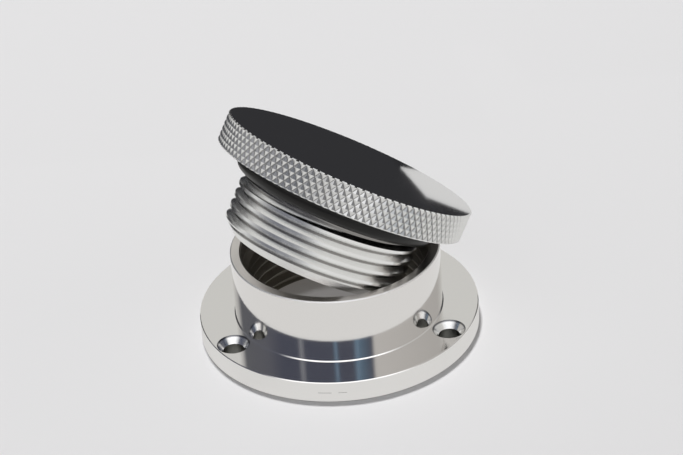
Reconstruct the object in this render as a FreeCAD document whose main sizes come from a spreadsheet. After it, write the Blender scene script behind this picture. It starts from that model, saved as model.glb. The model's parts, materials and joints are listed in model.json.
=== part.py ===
import FreeCAD, Part
import Sketcher
import math
import os

# A screw-in oil filler cap, taken off its neck and leaning on it.
# The neck stands on its flange, with the origin at the centre of the flange's lower face and +Z up.
# The cap is drawn upright at its own origin, the centre of the head's lower face, and then leaned over.

V = FreeCAD.Vector

SIZES = (
    ("thread_dia", 50.6, "crest of the plug's thread, from which the other diameters follow"),
    ("thread_pitch", 3.175, "one turn of the thread, 8 to the inch"),
    ("thread_depth", 1.75, "crest to root"),
    ("crest_flat", 0.8, "flat left on the crests"),
    ("flank_angle", 30.0, "flank of the thread, from square to the axis"),
    ("thread_clearance", 0.05, "between crest and root of the two threads"),
    ("thread_overcut", 0.3, "how far the thread tool passes the surface it cuts"),
    ("neck_wall", 3.05, "neck's wall, outside the thread"),
    ("neck_height", 24.75, "neck's top above the flange's lower face"),
    ("neck_edge_break", 0.3, "chamfer round the neck's outer top edge"),
    ("neck_foot_slope", 0.25, "small slope in the corner between neck and flange"),
    ("mouth_chamfer", 0.5, "seat for the rubber ring at the bore's mouth"),
    ("mouth_depth", 4.5, "plain stretch of bore above the inside thread"),
    ("mouth_clearance", 0.1, "plain mouth of the bore to the thread's crest"),
    ("foot_chamfer", 1.0, "chamfer where the bore leaves the flange"),
    ("flange_ledge", 9.75, "how far the flange stands out from the neck"),
    ("flange_thick", 6.05, "flange, lower face to upper face"),
    ("flange_foot_break", 0.2, "chamfer round the flange's lower edge"),
    ("flange_edge_break", 0.2, "chamfer round the flange's upper edge"),
    ("screw_inset", 4.75, "centre of a screw hole, in from the flange's edge"),
    ("screw_hole_dia", 5.7, "clearance hole for a screw"),
    ("screw_sink_dia", 8.9, "countersink at the flange's upper face"),
    ("screw_sink_angle", 82.0, "included angle of the countersink"),
    ("screw_count", 3.0, "screw holes round the flange"),
    ("first_screw_angle", 90.0, "where the first screw hole lies, from +X"),
    ("plug_length", 21.2, "head's lower face to the plug's end"),
    ("plug_chamfer", 3.3, "lead at the plug's end"),
    ("groove_width", 5.65, "run-out groove under the head, which holds the ring"),
    ("groove_depth", 1.8, "that groove, below the thread's crest"),
    ("ring_section", 4.6, "thickness of the rubber ring"),
    ("ring_clearance", 0.05, "ring to its groove and to the head"),
    ("head_overhang", 9.625, "how far the head stands out from the thread"),
    ("head_height", 8.1, "lower face to top face of the head"),
    ("head_top_break", 0.3, "chamfer round the top face"),
    ("head_foot_break", 0.3, "chamfer round the lower face"),
    ("knurl_pitch", 2.07, "from ridge to ridge round the rim"),
    ("knurl_depth", 0.5, "depth of the crossing grooves"),
    ("knurl_row_height", 1.46, "half of a diamond's height"),
    ("lean_angle", 32.36, "how far the cap's axis tips from upright"),
    ("lean_direction", 33.1, "which way the cap's axis tips, from +X"),
    ("thread_start", 299.0, "turn of the cap about its own axis"),
    ("rest_gap", 0.1, "air left where the cap rests on the neck"),
    ("neck_dia", "=thread_dia + 2 * neck_wall", "outside of the neck"),
    ("flange_dia", "=neck_dia + 2 * flange_ledge", "outside of the round flange"),
    ("screw_circle_dia", "=flange_dia - 2 * screw_inset", "circle through the screw holes"),
    ("ring_seat_dia", "=thread_dia - 2 * groove_depth", "bottom of the ring's groove"),
    ("cap_dia", "=thread_dia + 2 * head_overhang", "outside of the knurled head"),
)

doc = FreeCAD.newDocument("OilFillerCap")
sheet = doc.addObject("Spreadsheet::Sheet", "Sizes")
for row, (alias, value, meaning) in enumerate(SIZES, start=1):
    sheet.set(f"A{row}", alias)
    sheet.set(f"B{row}", str(value))
    sheet.setAlias(f"B{row}", alias)
    sheet.set(f"C{row}", meaning)
doc.recompute()


def size(expression):
    """The value of an expression in the sheet's names."""
    return float(sheet.evalExpression(expression))


def origin_plane(body, role):
    return next(item for item in body.Origin.OriginFeatures if item.Role == role)


def sketch_on(body, role, name):
    sketch = body.newObject("Sketcher::SketchObject", name)
    sketch.AttachmentSupport = (origin_plane(body, role), [""])
    sketch.MapMode = "FlatFace"
    return sketch


def place_point(sketch, line, end, across, up):
    """Ties one point of a sketch to two expressions in the sheet."""
    for kind, expression in (("DistanceX", across), ("DistanceY", up)):
        tie = sketch.addConstraint(Sketcher.Constraint(kind, line, end, sketch.evalExpression(expression)))
        sketch.setExpression(f"Constraints[{tie}]", expression)


def outline(body, name, corners):
    """A closed outline in the XZ plane; each corner is a radius and a height."""
    sketch = sketch_on(body, "XZ_Plane", name)
    points = [V(sketch.evalExpression(r), sketch.evalExpression(z), 0) for r, z in corners]
    for start, end in zip(points, points[1:] + points[:1]):
        sketch.addGeometry(Part.LineSegment(start, end), False)
    for line in range(len(corners)):
        sketch.addConstraint(Sketcher.Constraint("Coincident", line, 2, (line + 1) % len(corners), 1))
    for line, (radius, height) in enumerate(corners):
        place_point(sketch, line, 1, radius, height)
    return sketch


def turn(body, name, sketch):
    """Turns an outline about the body's Z axis."""
    feature = body.newObject("PartDesign::Revolution", name)
    feature.Profile = sketch
    feature.ReferenceAxis = (sketch, ["V_Axis"])
    feature.Angle = 360
    doc.recompute()
    return feature


def cut_thread(body, name, root, reach, half_root, start, length):
    """Cuts one thread groove: root and reach are radii, half_root is half its width at the root."""
    widen = f"(abs({reach} - ({root})) * tan(Sizes.flank_angle * 1 deg))"
    corners = [
        (root, f"{start} - ({half_root})"),
        (reach, f"{start} - ({half_root}) - {widen}"),
        (reach, f"{start} + ({half_root}) + {widen}"),
        (root, f"{start} + ({half_root})"),
    ]
    sketch = outline(body, name + "Section", corners)
    doc.recompute()
    groove = body.newObject("PartDesign::SubtractiveHelix", name)
    groove.Profile = sketch
    groove.ReferenceAxis = (sketch, ["V_Axis"])
    groove.Mode = "pitch-height-angle"
    groove.HasBeenEdited = True
    groove.setExpression("Pitch", "Sizes.thread_pitch")
    groove.setExpression("Height", length)
    doc.recompute()
    return groove


def screw_holes(body):
    """Countersunk holes through the flange, spaced evenly round it."""
    sketch = sketch_on(body, "XY_Plane", "ScrewPlace")
    sketch.AttachmentOffset = FreeCAD.Placement(V(0, 0, size("Sizes.flange_thick")), FreeCAD.Rotation())
    sketch.setExpression("AttachmentOffset.Base.z", "Sizes.flange_thick")
    radius = "Sizes.screw_circle_dia / 2"
    across = f"{radius} * cos(Sizes.first_screw_angle * 1 deg)"
    up = f"{radius} * sin(Sizes.first_screw_angle * 1 deg)"
    centre = V(sketch.evalExpression(across), sketch.evalExpression(up), 0)
    sketch.addGeometry(Part.Circle(centre, V(0, 0, 1), size("Sizes.screw_hole_dia / 2")), False)
    place_point(sketch, 0, 3, across, up)
    width = sketch.addConstraint(Sketcher.Constraint("Diameter", 0, size("Sizes.screw_hole_dia")))
    sketch.setExpression(f"Constraints[{width}]", "Sizes.screw_hole_dia")
    doc.recompute()
    hole = body.newObject("PartDesign::Hole", "ScrewHole")
    hole.Profile = sketch
    hole.DepthType = "ThroughAll"
    hole.HoleCutType = "Countersink"
    hole.setExpression("Diameter", "Sizes.screw_hole_dia")
    hole.setExpression("HoleCutDiameter", "Sizes.screw_sink_dia")
    hole.setExpression("HoleCutCountersinkAngle", "Sizes.screw_sink_angle")
    doc.recompute()
    ring = body.newObject("PartDesign::PolarPattern", "ScrewHoles")
    ring.Originals = [hole]
    ring.Axis = (sketch, ["N_Axis"])
    ring.Angle = 360
    ring.setExpression("Occurrences", "Sizes.screw_count")
    body.Tip = ring
    doc.recompute()
    return ring


def filler_neck():
    """The flanged neck, turned from one piece, with its screw holes and inside thread."""
    body = doc.addObject("PartDesign::Body", "FillerNeck")
    body.Label = "filler_neck"
    bore = "Sizes.thread_dia / 2 - Sizes.thread_depth + Sizes.thread_clearance"
    mouth = "Sizes.thread_dia / 2 + Sizes.mouth_clearance"
    section = outline(body, "NeckSection", [
        (f"{bore} + Sizes.foot_chamfer", "0"),
        ("Sizes.flange_dia / 2 - Sizes.flange_foot_break", "0"),
        ("Sizes.flange_dia / 2", "Sizes.flange_foot_break"),
        ("Sizes.flange_dia / 2", "Sizes.flange_thick - Sizes.flange_edge_break"),
        ("Sizes.flange_dia / 2 - Sizes.flange_edge_break", "Sizes.flange_thick"),
        ("Sizes.neck_dia / 2 + Sizes.neck_foot_slope", "Sizes.flange_thick"),
        ("Sizes.neck_dia / 2", "Sizes.flange_thick + Sizes.neck_foot_slope"),
        ("Sizes.neck_dia / 2", "Sizes.neck_height - Sizes.neck_edge_break"),
        ("Sizes.neck_dia / 2 - Sizes.neck_edge_break", "Sizes.neck_height"),
        (f"{mouth} + Sizes.mouth_chamfer", "Sizes.neck_height"),
        (mouth, "Sizes.neck_height - Sizes.mouth_chamfer"),
        (mouth, "Sizes.neck_height - Sizes.mouth_depth"),
        (bore, f"Sizes.neck_height - Sizes.mouth_depth - ({mouth} - ({bore}))"),
        (bore, "Sizes.foot_chamfer"),
    ])
    turn(body, "NeckTurned", section)
    screw_holes(body)
    cut_thread(
        body, "InsideThread",
        root="(Sizes.thread_dia / 2 + Sizes.thread_clearance)",
        reach=f"({bore} - Sizes.thread_overcut)",
        half_root="(Sizes.crest_flat / 2)",
        start="-Sizes.thread_pitch",
        length="Sizes.neck_height - Sizes.mouth_depth + 2 * Sizes.thread_pitch",
    )
    return body


def threaded_plug():
    """The plug below the head, with the groove for the ring and the outside thread."""
    body = doc.addObject("PartDesign::Body", "ThreadedPlug")
    crest = "Sizes.thread_dia / 2"
    seat = "Sizes.ring_seat_dia / 2"
    section = outline(body, "PlugSection", [
        ("0", "0"),
        ("0", "-Sizes.plug_length"),
        (f"{crest} - Sizes.plug_chamfer", "-Sizes.plug_length"),
        (crest, "-Sizes.plug_length + Sizes.plug_chamfer"),
        (crest, "-Sizes.groove_width"),
        (seat, "-Sizes.groove_width"),
        (seat, "0"),
    ])
    turn(body, "PlugTurned", section)
    cut_thread(
        body, "OutsideThread",
        root=f"({crest} - Sizes.thread_depth)",
        reach=f"({crest} + Sizes.thread_overcut)",
        half_root="((Sizes.thread_pitch - Sizes.crest_flat) / 2"
                  " - Sizes.thread_depth * tan(Sizes.flank_angle * 1 deg))",
        start="-Sizes.plug_length - Sizes.thread_pitch",
        length="Sizes.plug_length + Sizes.thread_pitch",
    )
    return body


def knurled_head():
    """The round head. Its rim is a diamond knurl: two sets of grooves cross and leave small pyramids."""
    rim = size("Sizes.cap_dia / 2")
    valley = rim - size("Sizes.knurl_depth")
    top = size("Sizes.head_height")
    top_break = size("Sizes.head_top_break")
    foot_break = size("Sizes.head_foot_break")
    band_height = top - top_break - foot_break
    steps = 2 * round(math.pi * size("Sizes.cap_dia / Sizes.knurl_pitch"))
    rows = max(1, round(band_height / size("Sizes.knurl_row_height")))

    def level(height, tip_radius, row):
        """One level of the rim: tips and valleys take turns round it."""
        radii = [min(tip_radius, valley) if (row + step) % 2 else tip_radius for step in range(steps)]
        turns = [2 * math.pi * step / steps for step in range(steps)]
        return [V(radius * math.cos(turn), radius * math.sin(turn), height) for radius, turn in zip(radii, turns)]

    def facet(*corners):
        return Part.Face(Part.makePolygon(corners + corners[:1]))

    levels = [level(foot_break + band_height * row / rows, rim, row) for row in range(rows + 1)]
    foot = level(0, rim - foot_break, 0)
    lid = level(top, rim - top_break, rows)
    faces = [facet(*foot), facet(*lid)]
    for row, points in enumerate(levels):
        for step in range(row % 2, steps, 2):
            tip = points[step]
            for side in (points[step - 1], points[(step + 1) % steps]):
                for beyond in (row - 1, row + 1):
                    if 0 <= beyond <= rows:
                        faces.append(facet(tip, side, levels[beyond][step]))
    for band_edge, face_edge, row in ((levels[0], foot, 0), (levels[rows], lid, rows)):
        for step in range(row % 2, steps, 2):
            for side in (step - 1, (step + 1) % steps):
                faces.append(facet(band_edge[step], band_edge[side], face_edge[step]))
                faces.append(facet(band_edge[side], face_edge[side], face_edge[step]))
    head = doc.addObject("Part::Feature", "KnurledHead")
    solid = Part.makeSolid(Part.makeShell(faces))
    head.Shape = solid if solid.Volume > 0 else solid.reversed()
    return head


def cap_clearance():
    """Gives a function: the room between the cap and a point rho from its axis and depth below its head."""
    crest = size("Sizes.thread_dia / 2")
    section = size("Sizes.ring_section / 2")
    ring_centre = size("Sizes.ring_seat_dia / 2 + Sizes.ring_clearance") + section
    ring_depth = section + size("Sizes.ring_clearance")
    plug_start = size("Sizes.groove_width")
    plug_end = size("Sizes.plug_length")
    lead_start = plug_end - size("Sizes.plug_chamfer")
    head = size("Sizes.cap_dia / 2")

    def room(rho, depth):
        if rho > head:
            return math.inf
        nearest = min(depth, math.hypot(rho - ring_centre, depth - ring_depth) - section)
        if plug_start < depth < plug_end:
            nearest = min(nearest, rho - crest + max(0.0, depth - lead_start))
        return nearest

    return room


def cap_frame(reach, height):
    """Places the cap: its origin lies reach from the neck's axis, along the lean, at a height."""
    heading = FreeCAD.Rotation(V(0, 0, 1), size("Sizes.lean_direction"))
    lean = FreeCAD.Rotation(V(0, 1, 0), size("Sizes.lean_angle"))
    spin = FreeCAD.Rotation(V(0, 0, 1), size("Sizes.thread_start"))
    origin = heading.multVec(V(reach, 0, height))
    return FreeCAD.Placement(origin, heading * lean * spin)


def neck_rims():
    """The circles on the neck that a leaning cap can touch, as radius and height."""
    top = size("Sizes.neck_height")
    mouth = size("Sizes.thread_dia / 2 + Sizes.mouth_clearance")
    return (
        (size("Sizes.neck_dia / 2 - Sizes.neck_edge_break"), top),
        (mouth + size("Sizes.mouth_chamfer"), top),
        (mouth, top - size("Sizes.mouth_chamfer")),
        (mouth, top - size("Sizes.mouth_depth")),
        (size("Sizes.thread_dia / 2 - Sizes.thread_depth"), top - size("Sizes.mouth_depth + Sizes.thread_depth")),
    )


def rest_on_neck():
    """Finds where the leaning cap comes to rest: the lowest place that leaves rest_gap all round."""
    lean = math.radians(size("Sizes.lean_angle"))
    gap = size("Sizes.rest_gap")
    highest = size("Sizes.neck_height + Sizes.plug_length + Sizes.cap_dia")
    halvings = 24
    room = cap_clearance()
    points = [
        (radius * math.cos(math.radians(turn)), radius * math.sin(math.radians(turn)), height)
        for radius, height in neck_rims()
        for turn in range(0, 181, 3)
    ]

    def clear(reach, lift):
        for along, across, height in points:
            run, rise = along - reach, height - lift
            depth = -(run * math.sin(lean) + rise * math.cos(lean))
            rho = math.hypot(run * math.cos(lean) - rise * math.sin(lean), across)
            if room(rho, depth) < gap:
                return False
        return True

    def drop(reach):
        low, high = 0.0, highest
        for _ in range(halvings):
            middle = (low + high) / 2
            low, high = (low, middle) if clear(reach, middle) else (middle, high)
        return high

    span = size("Sizes.thread_dia / 4")
    left, right = -span, span
    for _ in range(halvings):
        first, second = left + (right - left) / 3, right - (right - left) / 3
        left, right = (left, second) if drop(first) < drop(second) else (first, right)
    reach = (left + right) / 2
    return reach, drop(reach)


def filler_cap(place):
    """The cap: head and plug are one turned piece."""
    cap = doc.addObject("Part::Fuse", "FillerCap")
    cap.Label = "filler_cap"
    cap.Base = knurled_head()
    cap.Tool = threaded_plug()
    cap.Placement = place
    doc.recompute()
    return cap


def o_ring(place):
    """The rubber ring in the groove under the head."""
    ring = doc.addObject("Part::Torus", "RubberRing")
    ring.Label = "o_ring"
    ring.setExpression("Radius1", "Sizes.ring_seat_dia / 2 + Sizes.ring_clearance + Sizes.ring_section / 2")
    ring.setExpression("Radius2", "Sizes.ring_section / 2")
    depth = size("Sizes.ring_section / 2 + Sizes.ring_clearance")
    ring.Placement = place * FreeCAD.Placement(V(0, 0, -depth), FreeCAD.Rotation())
    doc.recompute()
    return ring


reach, lift = rest_on_neck()
print(f"the cap rests {reach:.2f} mm from the neck's axis, {lift:.2f} mm up")
leaning = cap_frame(reach, lift)
nodes = [filler_neck(), filler_cap(leaning), o_ring(leaning)]
doc.recompute()

for item in doc.Objects:
    for state in item.State:
        if state in ("Invalid", "Error"):
            raise RuntimeError(f"{item.Label} failed: {item.State}")
for node in nodes:
    if node.Shape.isNull() or not node.Shape.isValid() or len(node.Shape.Solids) != 1:
        raise RuntimeError(f"{node.Label} is not one valid solid")

os.makedirs("parts", exist_ok=True)
for node in nodes:
    node.Shape.exportStep(f"parts/{node.Label}.step")
    print(f"{node.Label}: {node.Shape.Volume / 1000:.2f} cm3, {len(node.Shape.Faces)} faces")
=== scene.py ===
import json
import math

import bmesh
import bpy
from mathutils import Matrix, Vector

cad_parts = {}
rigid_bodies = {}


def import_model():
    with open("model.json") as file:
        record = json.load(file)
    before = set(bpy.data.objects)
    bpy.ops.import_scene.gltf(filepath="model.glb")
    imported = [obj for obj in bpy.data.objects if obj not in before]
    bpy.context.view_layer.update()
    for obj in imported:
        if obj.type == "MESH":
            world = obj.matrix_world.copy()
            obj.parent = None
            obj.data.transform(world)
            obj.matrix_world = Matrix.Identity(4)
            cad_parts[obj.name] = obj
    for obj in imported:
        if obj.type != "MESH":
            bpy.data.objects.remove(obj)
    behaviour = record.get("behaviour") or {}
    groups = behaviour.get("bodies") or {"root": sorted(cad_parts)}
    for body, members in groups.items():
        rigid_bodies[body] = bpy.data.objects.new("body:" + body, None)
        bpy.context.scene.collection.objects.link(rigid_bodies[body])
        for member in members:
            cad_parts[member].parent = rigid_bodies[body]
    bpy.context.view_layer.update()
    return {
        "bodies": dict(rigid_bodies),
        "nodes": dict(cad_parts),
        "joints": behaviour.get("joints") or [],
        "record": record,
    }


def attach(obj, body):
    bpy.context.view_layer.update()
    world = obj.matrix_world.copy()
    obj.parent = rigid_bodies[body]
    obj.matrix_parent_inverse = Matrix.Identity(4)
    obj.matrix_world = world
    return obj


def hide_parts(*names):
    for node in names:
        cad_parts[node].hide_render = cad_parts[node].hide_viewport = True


# A screw-in oil filler cap of polished metal, taken off its flanged neck and leaning on it.
# Lengths are in millimetres here and become metres where a mesh, lamp or camera is placed.

MM = 0.001

# The cap's own frame: its origin is the centre of the head's lower face, its axis is +Z.
LEAN_DIRECTION = math.radians(33.1)
LEAN_ANGLE = math.radians(32.36)
REST_REACH = 2.75
REST_LIFT = 41.28
HEAD_HEIGHT = 8.1
HEAD_RADIUS = 34.925
KNURL_DEPTH = 0.5
KNURL_COUNT = 106
LEAD_DEPTH = -19.2
EDGE_BREAK = 0.3

# The rubber ring under the head.
RING_RADIUS = 25.85
RING_SECTION = 4.6
RING_CLEARANCE = 0.05
RING_SEGMENTS = 40
RING_STEPS = 180

# The neck and its flange.
BORE_RADIUS = 25.4
NECK_RADIUS = 28.35
NECK_HEIGHT = 24.75
MOUTH_CHAMFER = 0.5
SCREW_RADIUS = 2.85
SINK_RADIUS = 4.45
SCREW_CIRCLE_RADIUS = 33.35
FLANGE_RADIUS = 38.1
FLANGE_THICK = 6.05
SCREW_TURNS = [math.radians(turn) for turn in (90, 210, 330)]

# The order of each piece's materials, and the slack used to tell its faces apart.
TURNED, BORE_SHADE, SATIN, HOLE, SINK, SIDE = range(6)
LID, RIM, THREAD, PLAIN, SHADE, BEADS = range(6)
SKIN = 0.02

# Vertices this close are merged, and edges sharper than these angles stay sharp.
MERGE_DISTANCE = 0.002
RING_MERGE_DISTANCE = 0.001
NECK_SHARP = math.radians(24)
CAP_SHARP = math.radians(14)
RING_SHARP = math.radians(40)
STAGE_SHARP = math.radians(30)

# A fine broken scratch on the flange's side, in front of this share of its radius.
SCRATCH_HEIGHT = 2.9
SCRATCH_ENDS = (-7.0, 0.6)
SCRATCH_WIDTH = 0.09
SCRATCH_FRONT = 0.9
SCRATCH_SCALE = 700.0
SCRATCH_BREAK = 0.47
SCRATCH_COLOUR = (0.04, 0.04, 0.04)

# The countersinks' upper edge, painted dark as a reflection of the dim part of the room, and the painted
# shade in the gaps between the beads on the head's top edge.
RIM_DEPTH = 0.55
PAINTED_RIM_REFLECTION = (0.20, 0.20, 0.21)
BEAD_START = -0.45
PAINTED_NOTCH_SHADE = (0.07, 0.07, 0.07)

# Painted shade in the knurl's grooves and the thread's roots: the metal turns darker towards the bottom of
# each groove. Each pair holds the radius at which the painted shade is darkest and the radius at which it
# ends.
GROOVE_SHADE_COLOUR = (0.30, 0.29, 0.28)
KNURL_GROOVE_SHADE = (34.42, 34.53)
FACET_GROOVE_SHADE = (34.42, 34.50)
THREAD_ROOT_SHADE = (23.55, 23.565)

# The camera, found from the outlines of the flange, the neck and the cap.
IMAGE_WIDTH = 683
FOCAL_PIXELS = 2337.2
SENSOR_WIDTH = 36.0
CAMERA_PLACE = (2.137, -535.4, 355.35)
CAMERA_PITCH = math.radians(31.293)
CAMERA_ROLL = math.radians(4.059)

# The key light's place, in metres, and the gauze flag that dims it in the neck's bore.
KEY_PLACE = (-0.15, 0.66, 2.15)
FLAG_HEIGHT = 75
FLAG_RADIUS = 30
FLAG_SEGMENTS = 64
FLAG_DENSITY = 0.85

# The floor: half its width in metres, how far it lies below the part, its colours and the painted light that
# makes it glow in the bore.
FLOOR_REACH = 3.0
FLOOR_DROP = 0.05
FLOOR_COLOUR = (0.765, 0.76, 0.765)
MIRRORED_FLOOR_COLOUR = (0.76, 0.755, 0.745)
PAINTED_BORE_LIGHT = 0.075
PAINTED_LIGHT_COLOUR = (1.0, 0.93, 0.86)
CARD_LIFT = 0.5

# The background that only the camera sees, and the room that the metal mirrors.
# The blends are elevations in degrees, between the room's low, middle and high parts.
BACKGROUND = (0.72, 0.717, 0.72)
DIFFUSE_LOSS = 0.80
LOW_BLEND = (10, 20)
HIGH_BLEND = (41, 48)
WALL = (0.66, 0.66, 0.64)
GREY_WALL = (0.50, 0.50, 0.50)
WARM_WALL = (0.60, 0.59, 0.575)
SHADED_WALL = (0.50, 0.49, 0.475)
DIM = (0.075, 0.082, 0.115)
DIM_EDGE = (0.13, 0.135, 0.15)
DIM_SIDE = (0.12, 0.125, 0.15)
BLUE = (0.17, 0.26, 0.36)
DEEP_BLUE = (0.11, 0.17, 0.24)
STREAK = (0.26, 0.27, 0.30)
DARK_ROOM = (0.07, 0.07, 0.075)
PALE = (0.80, 0.80, 0.79)
HALF_PALE = (0.54, 0.54, 0.55)
CEILING = (0.70, 0.70, 0.70)
WINDOW = (1.40, 1.40, 1.42)


def metres(*lengths):
    return Vector(length * MM for length in lengths)


def cap_frame():
    """The place of the leaning cap, in millimetres."""
    heading = Matrix.Rotation(LEAN_DIRECTION, 4, "Z")
    lean = Matrix.Rotation(LEAN_ANGLE, 4, "Y")
    origin = heading @ Vector((REST_REACH, 0, REST_LIFT))
    return Matrix.Translation(origin) @ heading @ lean


def node_tree(name):
    """A new material, its node tree and its Principled shader."""
    material = bpy.data.materials.new(name)
    material.use_nodes = True
    tree = material.node_tree
    tree.nodes.clear()
    output = tree.nodes.new("ShaderNodeOutputMaterial")
    shader = tree.nodes.new("ShaderNodeBsdfPrincipled")
    link(tree, shader.outputs["BSDF"], output.inputs["Surface"])
    return material, tree, shader


def link(tree, source, target):
    tree.links.new(source, target)


def math_node(tree, operation, first, second=None):
    """A Math node. Each input is a socket or a number."""
    node = tree.nodes.new("ShaderNodeMath")
    node.operation = operation
    for index, value in enumerate((first, second)):
        if value is None:
            continue
        if isinstance(value, (int, float)):
            node.inputs[index].default_value = value
        else:
            link(tree, value, node.inputs[index])
    return node.outputs["Value"]


def split_up(tree, position):
    """A position taken apart into X, Y and Z."""
    node = tree.nodes.new("ShaderNodeSeparateXYZ")
    link(tree, position, node.inputs["Vector"])
    return node.outputs


def off_axis(tree, parts):
    """The distance of a split position from the Z axis."""
    across = math_node(tree, "MULTIPLY", parts["X"], parts["X"])
    along = math_node(tree, "MULTIPLY", parts["Y"], parts["Y"])
    return math_node(tree, "SQRT", math_node(tree, "ADD", across, along))


def tint(tree, shader, factor, first, second):
    """Colours a shader between two colours, by a factor from 0 to 1."""
    node = tree.nodes.new("ShaderNodeMix")
    node.data_type = "RGBA"
    node.inputs[6].default_value = (*first, 1)
    node.inputs[7].default_value = (*second, 1)
    link(tree, factor, node.inputs["Factor"])
    link(tree, node.outputs[2], shader.inputs["Base Color"])


def turned_finish():
    """A group for turned metal: fine tool lines round the axis, a few handling marks,
    the roughness of both, and where painted shade darkens the metal by its distance from the axis."""
    group = bpy.data.node_groups.new("turned_finish", "ShaderNodeTree")
    face = group.interface
    face.new_socket(name="Position", in_out="INPUT", socket_type="NodeSocketVector")
    for name in ("Line Spacing", "Smooth", "Worn", "Darkest Radius", "Unshaded Radius"):
        face.new_socket(name=name, in_out="INPUT", socket_type="NodeSocketFloat")
    for name in ("Height", "Roughness", "Unshaded"):
        face.new_socket(name=name, in_out="OUTPUT", socket_type="NodeSocketFloat")
    given = group.nodes.new("NodeGroupInput").outputs
    result = group.nodes.new("NodeGroupOutput").inputs
    parts = split_up(group, given["Position"])
    radius = off_axis(group, parts)
    travel = math_node(group, "ADD", radius, parts["Z"])
    lines = group.nodes.new("ShaderNodeTexNoise")
    lines.noise_dimensions = "1D"
    lines.inputs["Detail"].default_value = 3.0
    lines.inputs["Scale"].default_value = 1.0
    link(group, math_node(group, "DIVIDE", travel, given["Line Spacing"]), lines.inputs["W"])
    marks = group.nodes.new("ShaderNodeTexNoise")
    marks.inputs["Scale"].default_value = 90.0
    marks.inputs["Detail"].default_value = 6.0
    link(group, given["Position"], marks.inputs["Vector"])
    worn = math_node(group, "MULTIPLY", marks.outputs["Fac"], given["Worn"])
    rough = math_node(group, "MULTIPLY", lines.outputs["Fac"], given["Worn"])
    total = math_node(group, "ADD", math_node(group, "ADD", worn, rough), given["Smooth"])
    link(group, total, result["Roughness"])
    unshaded = group.nodes.new("ShaderNodeMapRange")
    unshaded.interpolation_type = "SMOOTHSTEP"
    link(group, radius, unshaded.inputs["Value"])
    link(group, given["Darkest Radius"], unshaded.inputs["From Min"])
    link(group, given["Unshaded Radius"], unshaded.inputs["From Max"])
    link(group, unshaded.outputs["Result"], result["Unshaded"])
    link(group, lines.outputs["Fac"], result["Height"])
    return group


def metal(name, finish, colour, smooth, worn, spacing=0.35, relief=0.2, frame=None, groove_shade=None, mark=None):
    """Polished or turned metal. frame places the axis of the tool lines when it isn't the world's Z.
    groove_shade is the radius at which painted shade is darkest and the radius at which it ends.
    mark is a function that draws one more mark on the metal; the marks are a scratch, a painted reflection
    and painted shade."""
    material, tree, shader = node_tree(name)
    position = tree.nodes.new("ShaderNodeTexCoord").outputs["Object"]
    if frame is not None:
        mapping = tree.nodes.new("ShaderNodeMapping")
        mapping.vector_type = "TEXTURE"
        mapping.inputs["Location"].default_value = frame.to_translation() * MM
        mapping.inputs["Rotation"].default_value = frame.to_euler("XYZ")
        link(tree, position, mapping.inputs["Vector"])
        position = mapping.outputs["Vector"]
    surface = tree.nodes.new("ShaderNodeGroup")
    surface.node_tree = finish
    surface.inputs["Line Spacing"].default_value = spacing * MM
    surface.inputs["Smooth"].default_value = smooth
    surface.inputs["Worn"].default_value = worn
    link(tree, position, surface.inputs["Position"])
    bump = tree.nodes.new("ShaderNodeBump")
    bump.inputs["Strength"].default_value = relief
    bump.inputs["Distance"].default_value = 0.01 * MM
    link(tree, surface.outputs["Height"], bump.inputs["Height"])
    link(tree, bump.outputs["Normal"], shader.inputs["Normal"])
    link(tree, surface.outputs["Roughness"], shader.inputs["Roughness"])
    shader.inputs["Base Color"].default_value = (*colour, 1)
    shader.inputs["Metallic"].default_value = 1.0
    if mark is not None:
        mark(tree, position, colour, shader)
    # Painted shade: the metal turns darker towards the bottom of its grooves.
    if groove_shade is not None:
        darkest_radius, unshaded_radius = groove_shade
        surface.inputs["Darkest Radius"].default_value = darkest_radius * MM
        surface.inputs["Unshaded Radius"].default_value = unshaded_radius * MM
        tint(tree, shader, surface.outputs["Unshaded"], GROOVE_SHADE_COLOUR, colour)
    return material


def scratch(tree, position, colour, shader):
    """Draws a fine broken scratch across the front of the flange's side."""
    parts = split_up(tree, position)
    middle = sum(SCRATCH_ENDS) / 2 * MM
    reach = (SCRATCH_ENDS[1] - SCRATCH_ENDS[0]) / 2 * MM
    above_line = math_node(tree, "SUBTRACT", parts["Z"], SCRATCH_HEIGHT * MM)
    off_line = math_node(tree, "ABSOLUTE", above_line)
    off_middle = math_node(tree, "ABSOLUTE", math_node(tree, "SUBTRACT", parts["X"], middle))
    on_line = math_node(tree, "LESS_THAN", off_line, SCRATCH_WIDTH / 2 * MM)
    in_reach = math_node(tree, "LESS_THAN", off_middle, reach)
    in_front = math_node(tree, "LESS_THAN", parts["Y"], -FLANGE_RADIUS * SCRATCH_FRONT * MM)
    breaks = tree.nodes.new("ShaderNodeTexNoise")
    breaks.inputs["Scale"].default_value = SCRATCH_SCALE
    link(tree, position, breaks.inputs["Vector"])
    kept = math_node(tree, "GREATER_THAN", breaks.outputs["Fac"], SCRATCH_BREAK)
    mask = math_node(tree, "MULTIPLY", on_line, in_reach)
    mask = math_node(tree, "MULTIPLY", mask, math_node(tree, "MULTIPLY", in_front, kept))
    tint(tree, shader, mask, colour, SCRATCH_COLOUR)


def painted_rim_reflection(tree, position, colour, shader):
    """Paints the upper edge of a countersink dark: a painted reflection of the dim part of the room."""
    high = tree.nodes.new("ShaderNodeMapRange")
    high.interpolation_type = "SMOOTHSTEP"
    high.inputs["From Min"].default_value = (FLANGE_THICK - RIM_DEPTH) * MM
    high.inputs["From Max"].default_value = (FLANGE_THICK - RIM_DEPTH / 3) * MM
    link(tree, split_up(tree, position)["Z"], high.inputs["Value"])
    tint(tree, shader, high.outputs["Result"], colour, PAINTED_RIM_REFLECTION)


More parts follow.
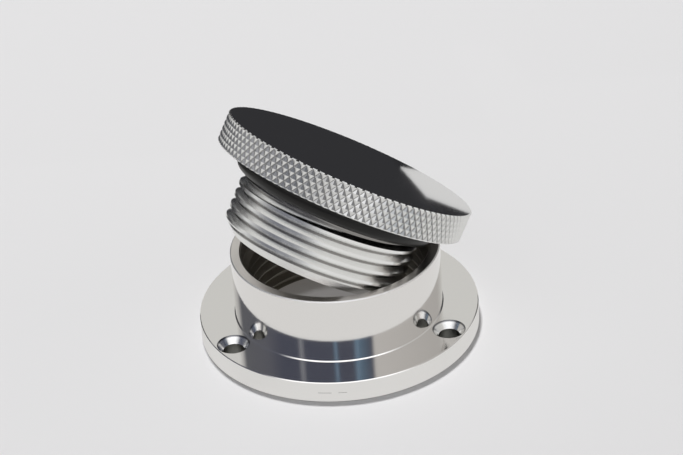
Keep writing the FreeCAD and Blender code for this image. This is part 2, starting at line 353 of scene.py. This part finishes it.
def notch_shade(tree, position, colour, shader):
    """Breaks the head's top edge into one bright bead for each tooth of the knurl, with painted shade in the
    gaps between them.
    """
    parts = split_up(tree, position)
    around = math_node(tree, "ARCTAN2", parts["Y"], parts["X"])
    wave = math_node(tree, "SINE", math_node(tree, "MULTIPLY", around, KNURL_COUNT))
    on_bead = math_node(tree, "GREATER_THAN", wave, BEAD_START)
    tint(tree, shader, on_bead, PAINTED_NOTCH_SHADE, colour)


def rubber():
    """Black rubber with a faint bloom."""
    material, tree, shader = node_tree("black_rubber")
    place = tree.nodes.new("ShaderNodeTexCoord")
    bloom = tree.nodes.new("ShaderNodeTexNoise")
    bloom.inputs["Scale"].default_value = 160.0
    bloom.inputs["Detail"].default_value = 5.0
    link(tree, place.outputs["Object"], bloom.inputs["Vector"])
    tone = tree.nodes.new("ShaderNodeValToRGB")
    tone.color_ramp.elements[0].color = (0.004, 0.0035, 0.003, 1)
    tone.color_ramp.elements[1].color = (0.010, 0.009, 0.008, 1)
    link(tree, bloom.outputs["Fac"], tone.inputs["Fac"])
    link(tree, tone.outputs["Color"], shader.inputs["Base Color"])
    rough = tree.nodes.new("ShaderNodeMapRange")
    rough.inputs["To Min"].default_value = 0.30
    rough.inputs["To Max"].default_value = 0.48
    link(tree, bloom.outputs["Fac"], rough.inputs["Value"])
    link(tree, rough.outputs["Result"], shader.inputs["Roughness"])
    shader.inputs["Specular IOR Level"].default_value = 0.35
    return material


def finish_piece(name, bm, materials, sharp_angle):
    """Turns a bmesh in metres into a smooth shaded object with sharp corners kept."""
    for face in bm.faces:
        face.smooth = True
    for edge in bm.edges:
        if len(edge.link_faces) == 2:
            edge.smooth = edge.calc_face_angle(0) < sharp_angle
    mesh = bpy.data.meshes.new(name)
    bm.to_mesh(mesh)
    bm.free()
    for material in materials:
        mesh.materials.append(material)
    piece = bpy.data.objects.new(name, mesh)
    bpy.context.scene.collection.objects.link(piece)
    return piece


def merged_copy(node):
    """A copy of a CAD node's mesh with its loose triangles joined."""
    bm = bmesh.new()
    bm.from_mesh(node.data)
    bmesh.ops.remove_doubles(bm, verts=bm.verts, dist=MERGE_DISTANCE * MM)
    return bm


def neck_piece(node, materials):
    """The flanged neck: turned outside; inside, a darker copy of the metal is painted shade."""
    bm = merged_copy(node)
    holes = [Matrix.Rotation(turn, 2) @ Vector((SCREW_CIRCLE_RADIUS, 0)) for turn in SCREW_TURNS]
    for face in bm.faces:
        centre = face.calc_center_median() / MM
        rho = math.hypot(centre.x, centre.y)
        off_hole = min((centre.xy - hole).length for hole in holes)
        on_mouth = NECK_HEIGHT - MOUTH_CHAMFER < centre.z and BORE_RADIUS < rho < NECK_RADIUS - SKIN
        if on_mouth and rho > NECK_RADIUS - EDGE_BREAK:
            face.material_index = SIDE
        elif on_mouth:
            face.material_index = SATIN
        elif off_hole < SCREW_RADIUS + SKIN:
            face.material_index = HOLE
        elif off_hole < SINK_RADIUS and centre.z < FLANGE_THICK - SKIN:
            face.material_index = SINK
        # The bore gets the darker metal: painted shade.
        elif rho < BORE_RADIUS + SKIN:
            face.material_index = BORE_SHADE
        elif rho > FLANGE_RADIUS - EDGE_BREAK and centre.z < FLANGE_THICK - EDGE_BREAK:
            face.material_index = SIDE
        else:
            face.material_index = TURNED
    return finish_piece("neck", bm, materials, NECK_SHARP)


def cap_piece(node, frame, materials):
    """The cap: a mirror lid, a knurled rim and a threaded plug."""
    bm = merged_copy(node)
    to_cap = frame.inverted()
    for face in bm.faces:
        centre = to_cap @ (face.calc_center_median() / MM)
        rho = math.hypot(centre.x, centre.y)
        if centre.z > HEAD_HEIGHT - SKIN:
            face.material_index = LID
        elif rho > HEAD_RADIUS - KNURL_DEPTH - EDGE_BREAK and centre.z > SKIN:
            normal = to_cap.to_3x3() @ face.normal
            facing_right = normal.y * centre.x - normal.x * centre.y > SKIN * rho
            if centre.z > HEAD_HEIGHT - EDGE_BREAK:
                face.material_index = BEADS
            elif centre.z < EDGE_BREAK:
                face.material_index = PLAIN
            else:
                # Facets that face right and up get a darker copy of the metal: painted shade.
                face.material_index = SHADE if facing_right and normal.z > SKIN else RIM
        elif centre.z > LEAD_DEPTH:
            face.material_index = THREAD
        else:
            face.material_index = PLAIN
    return finish_piece("cap", bm, materials, CAP_SHARP)


def ring_piece(frame, material):
    """The rubber ring, spun from a circle."""
    bm = bmesh.new()
    section = bmesh.ops.create_circle(bm, segments=RING_SEGMENTS, radius=RING_SECTION / 2)["verts"]
    bmesh.ops.rotate(bm, verts=section, cent=(0, 0, 0), matrix=Matrix.Rotation(math.pi / 2, 3, "X"))
    bmesh.ops.translate(bm, verts=section, vec=(RING_RADIUS, 0, -RING_SECTION / 2 - RING_CLEARANCE))
    bmesh.ops.spin(
        bm, geom=bm.verts[:] + bm.edges[:], cent=(0, 0, 0), axis=(0, 0, 1),
        angle=2 * math.pi, steps=RING_STEPS, use_merge=True,
    )
    bmesh.ops.remove_doubles(bm, verts=bm.verts, dist=RING_MERGE_DISTANCE)
    bmesh.ops.recalc_face_normals(bm, faces=bm.faces)
    bmesh.ops.transform(bm, matrix=Matrix.Scale(MM, 4) @ frame, verts=bm.verts)
    return finish_piece("ring", bm, [material], RING_SHARP)


def floor_piece():
    """A pale floor. Outside the flange metal mirrors it evenly lit, and in the bore it glows a little:
    painted light.
    """
    bm = bmesh.new()
    bmesh.ops.create_grid(bm, x_segments=1, y_segments=1, size=FLOOR_REACH)
    bmesh.ops.translate(bm, verts=bm.verts, vec=(0, 0, -FLOOR_DROP * MM))
    material, tree, shader = node_tree("pale_floor")
    shader.inputs["Base Color"].default_value = (*FLOOR_COLOUR, 1)
    shader.inputs["Roughness"].default_value = 0.8
    shader.inputs["Specular IOR Level"].default_value = 0.1
    place = tree.nodes.new("ShaderNodeTexCoord")
    reach = off_axis(tree, split_up(tree, place.outputs["Object"]))
    outside = math_node(tree, "GREATER_THAN", reach, FLANGE_RADIUS * MM)
    in_bore = math_node(tree, "LESS_THAN", reach, BORE_RADIUS * MM)
    # Painted light: the floor glows in the bore.
    shader.inputs["Emission Color"].default_value = (*PAINTED_LIGHT_COLOUR, 1)
    link(tree, math_node(tree, "MULTIPLY", in_bore, PAINTED_BORE_LIGHT), shader.inputs["Emission Strength"])
    path = tree.nodes.new("ShaderNodeLightPath")
    mirrored = math_node(tree, "MULTIPLY", path.outputs["Is Glossy Ray"], outside)
    even = tree.nodes.new("ShaderNodeEmission")
    even.inputs["Color"].default_value = (*MIRRORED_FLOOR_COLOUR, 1)
    blend = tree.nodes.new("ShaderNodeMixShader")
    output = next(node for node in tree.nodes if node.bl_idname == "ShaderNodeOutputMaterial")
    link(tree, mirrored, blend.inputs["Fac"])
    link(tree, shader.outputs["BSDF"], blend.inputs[1])
    link(tree, even.outputs["Emission"], blend.inputs[2])
    link(tree, blend.outputs["Shader"], output.inputs["Surface"])
    return finish_piece("floor", bm, [material], STAGE_SHARP)


def dark_card(name, near_left, near_right, away, tone):
    """A dark card on the floor behind the part, which only reflections see."""
    bm = bmesh.new()
    corners = [bm.verts.new(metres(*place, CARD_LIFT)) for place in (near_left, near_right)]
    edge = bm.edges.new(corners)
    moved = bmesh.ops.extrude_edge_only(bm, edges=[edge])["geom"]
    far = [item for item in moved if isinstance(item, bmesh.types.BMVert)]
    bmesh.ops.translate(bm, verts=far, vec=metres(*away, 0))
    bmesh.ops.recalc_face_normals(bm, faces=bm.faces)
    material, _, shader = node_tree(name + "_felt")
    shader.inputs["Base Color"].default_value = (tone, tone, tone * 1.08, 1)
    shader.inputs["Roughness"].default_value = 1.0
    shader.inputs["Specular IOR Level"].default_value = 0.0
    card = finish_piece(name, bm, [material], STAGE_SHARP)
    card.visible_camera = False
    card.visible_diffuse = False
    card.visible_shadow = False
    return card


def key_flag():
    """A gauze flag that dims the key light, and only that, in the neck's bore."""
    bm = bmesh.new()
    bmesh.ops.create_circle(bm, cap_ends=True, segments=FLAG_SEGMENTS, radius=FLAG_RADIUS * MM)
    along = Vector(KEY_PLACE) / KEY_PLACE[2] * FLAG_HEIGHT * MM
    bmesh.ops.translate(bm, verts=bm.verts, vec=along)
    material, _, shader = node_tree("flag_gauze")
    shader.inputs["Alpha"].default_value = FLAG_DENSITY
    flag = finish_piece("key_flag", bm, [material], STAGE_SHARP)
    flag.visible_camera = False
    flag.visible_diffuse = False
    flag.visible_glossy = False
    flag.visible_transmission = False
    return flag


def heading_ramp(tree, turn, stops):
    """A colour for each heading. A stop is a heading in degrees and its colour."""
    node = tree.nodes.new("ShaderNodeValToRGB")
    elements = node.color_ramp.elements
    for element, (degrees, colour) in ((elements[0], stops[0]), (elements[1], stops[-1])):
        element.position = 0.5 + degrees / 360
        element.color = (*colour, 1)
    for degrees, colour in stops[1:-1]:
        elements.new(0.5 + degrees / 360).color = (*colour, 1)
    link(tree, turn, node.inputs["Fac"])
    return node.outputs["Color"]


def climb(tree, height, low, high, below, above):
    """One colour below the low elevation, another above the high one, and a blend between them."""
    rise = tree.nodes.new("ShaderNodeMapRange")
    rise.inputs["From Min"].default_value = math.sin(math.radians(low))
    rise.inputs["From Max"].default_value = math.sin(math.radians(high))
    link(tree, height, rise.inputs["Value"])
    blend = tree.nodes.new("ShaderNodeMix")
    blend.data_type = "RGBA"
    link(tree, rise.outputs["Result"], blend.inputs["Factor"])
    link(tree, below, blend.inputs[6])
    link(tree, above, blend.inputs[7])
    return blend.outputs[2]


def room_colour(tree):
    """A light room, dim and bluish over the camera's left, with a bright patch high above the camera."""
    direction = tree.nodes.new("ShaderNodeTexCoord")
    parts = split_up(tree, direction.outputs["Generated"])

    # The turn is 0.5 towards the camera, grows to its right and runs from 0 to 1.
    toward = math_node(tree, "MULTIPLY", parts["Y"], -1.0)
    heading = math_node(tree, "ARCTAN2", parts["X"], toward)
    turn = math_node(tree, "ADD", math_node(tree, "DIVIDE", heading, 2 * math.pi), 0.5)
    around = heading_ramp(tree, turn, [
        (-164, WALL), (-148, GREY_WALL), (-137, DIM_EDGE), (-92, DIM_SIDE),
        (-70, DIM), (-50, DIM), (-46, STREAK), (-41, DIM),
        (-10, DIM), (-7, BLUE), (-4, DIM),
        (12, DIM), (16, BLUE), (20, DEEP_BLUE), (33, DIM),
        (36, WARM_WALL), (140, SHADED_WALL), (165, WALL),
    ])
    low = heading_ramp(tree, turn, [
        (-126, DARK_ROOM), (-108, PALE), (20, PALE),
        (60, HALF_PALE), (112, HALF_PALE), (130, DARK_ROOM),
    ])
    high = heading_ramp(tree, turn, [(-90, CEILING), (-50, WINDOW), (45, WINDOW), (80, CEILING)])
    walls = climb(tree, parts["Z"], *LOW_BLEND, low, around)
    return climb(tree, parts["Z"], *HIGH_BLEND, walls, high)


def studio_world():
    """An even pale background to the camera, and the room to everything else."""
    world = bpy.data.worlds.new("studio")
    world.use_nodes = True
    tree = world.node_tree
    tree.nodes.clear()
    output = tree.nodes.new("ShaderNodeOutputWorld")
    seen = tree.nodes.new("ShaderNodeBackground")
    seen.inputs["Color"].default_value = (*BACKGROUND, 1)
    lit = tree.nodes.new("ShaderNodeBackground")
    link(tree, room_colour(tree), lit.inputs["Color"])
    path = tree.nodes.new("ShaderNodeLightPath")
    lost = math_node(tree, "MULTIPLY", path.outputs["Is Diffuse Ray"], DIFFUSE_LOSS)
    link(tree, math_node(tree, "SUBTRACT", 1.0, lost), lit.inputs["Strength"])
    choose = tree.nodes.new("ShaderNodeMixShader")
    link(tree, path.outputs["Is Camera Ray"], choose.inputs["Fac"])
    link(tree, lit.outputs["Background"], choose.inputs[1])
    link(tree, seen.outputs["Background"], choose.inputs[2])
    link(tree, choose.outputs["Shader"], output.inputs["Surface"])
    bpy.context.scene.world = world


def soft_lamp(name, place, aim, width, height, watts, blockers=None):
    """A lamp the metal doesn't mirror, in metres. With blockers given, only those pieces cast its shadow."""
    lamp = bpy.data.lights.new(name, "AREA")
    lamp.shape = "RECTANGLE"
    lamp.size = width
    lamp.size_y = height
    lamp.energy = watts
    holder = bpy.data.objects.new(name, lamp)
    holder.location = place
    holder.rotation_euler = (Vector(aim) - Vector(place)).to_track_quat("-Z", "Y").to_euler()
    holder.visible_glossy = False
    if blockers is not None:
        group = bpy.data.collections.new(name + "_blockers")
        for piece in blockers:
            group.objects.link(piece)
        holder.light_linking.blocker_collection = group
    bpy.context.scene.collection.objects.link(holder)


def photo_camera():
    """The camera at the photograph's angle, with its slight roll."""
    right = Vector((1, 0, 0))
    ahead = Vector((0, math.cos(CAMERA_PITCH), -math.sin(CAMERA_PITCH)))
    down = Vector((0, -math.sin(CAMERA_PITCH), -math.cos(CAMERA_PITCH)))
    image_right = math.cos(CAMERA_ROLL) * right + math.sin(CAMERA_ROLL) * down
    image_down = math.cos(CAMERA_ROLL) * down - math.sin(CAMERA_ROLL) * right
    lens = bpy.data.cameras.new("photo_camera")
    lens.sensor_width = SENSOR_WIDTH
    lens.lens = FOCAL_PIXELS / IMAGE_WIDTH * SENSOR_WIDTH
    lens.clip_start = 0.01
    camera = bpy.data.objects.new("photo_camera", lens)
    turn = Matrix((image_right, -image_down, -ahead)).transposed().to_4x4()
    camera.matrix_world = Matrix.Translation(metres(*CAMERA_PLACE)) @ turn
    bpy.context.scene.collection.objects.link(camera)
    bpy.context.scene.camera = camera


def neck_metals(finish):
    """The neck's materials, in the order of its face indices."""
    warm = (0.85, 0.835, 0.82)
    return [
        metal("turned_neck", finish, warm, 0.035, 0.05),
        # The bore's darker copy of the metal is painted shade.
        metal("shaded_bore", finish, (0.42, 0.40, 0.36), 0.22, 0.16, relief=0.25),
        metal("satin_rim", finish, (0.76, 0.73, 0.70), 0.20, 0.12),
        # The screw holes get a dark copy of the metal: painted shade.
        metal("shaded_drilled_hole", finish, (0.25, 0.25, 0.23), 0.25, 0.12),
        # The countersinks' upper edge carries a painted dark reflection.
        metal("sunk_cone", finish, (0.92, 0.92, 0.91), 0.08, 0.10, mark=painted_rim_reflection),
        metal("flange_side", finish, (0.93, 0.92, 0.905), 0.36, 0.10, mark=scratch),
    ]


def cap_metals(finish, frame):
    """The cap's materials, in the order of its face indices."""
    bright = (0.84, 0.84, 0.83)
    thread = (0.93, 0.93, 0.92)
    # shade is a darker copy of the bright metal for the knurl facets that face right and up: painted shade.
    shade = (0.34, 0.34, 0.35)
    edge = (0.98, 0.98, 0.97)
    return [
        metal("mirror_lid", finish, (0.67, 0.67, 0.675), 0.015, 0.02, 0.3, 0.03, frame),
        # The knurl's grooves and the thread's roots carry painted shade.
        metal("knurled_rim", finish, bright, 0.22, 0.16, 0.2, 0.3, frame, groove_shade=KNURL_GROOVE_SHADE),
        metal("cut_thread", finish, thread, 0.10, 0.12, 0.3, 0.10, frame, groove_shade=THREAD_ROOT_SHADE),
        metal("plug_end", finish, bright, 0.14, 0.12, 0.3, 0.25, frame),
        metal("knurl_shade", finish, shade, 0.24, 0.16, 0.2, 0.3, frame, groove_shade=FACET_GROOVE_SHADE),
        # The head's top edge gets painted shade between its beads.
        metal("knurl_edge", finish, edge, 0.50, 0.12, 0.2, 0.3, frame, mark=notch_shade),
    ]


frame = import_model()
nodes = frame["nodes"]
leaning = cap_frame()
finish = turned_finish()
neck = neck_piece(nodes["filler_neck"], neck_metals(finish))
cap = cap_piece(nodes["filler_cap"], leaning, cap_metals(finish, leaning))
ring = ring_piece(leaning, rubber())
for piece, node, slot in (
    (neck, "filler_neck", "turned_metal"),
    (cap, "filler_cap", "polished_metal"),
    (ring, "o_ring", "ring_rubber"),
):
    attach(piece, "root")
    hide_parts(node)

# The cards shape what the mirror lid reflects: a dark room, and a bright tongue of floor at one end.
floor_piece()
dark_card("back_card", (-900, 163), (900, 160), away=(0, 2500), tone=0.036)
dark_card("right_card", (66, 130), (900, 130), away=(-9, 33), tone=0.03)
dark_card("left_card", (-900, 100), (52, 100), away=(-9, 65), tone=0.03)
studio_world()
flag = key_flag()
soft_lamp("key_light", KEY_PLACE, (0, 0, 0), width=0.28, height=0.28, watts=40.0, blockers=[neck, flag])
soft_lamp("left_light", (-0.60, -0.50, 0.75), (0, 0, 0.02), width=0.8, height=0.6, watts=0.8)
soft_lamp("right_light", (0.85, -0.20, 0.75), (0.05, 0, 0), width=1.0, height=0.8, watts=0.6)
photo_camera()
bpy.context.scene.view_settings.view_transform = "Standard"
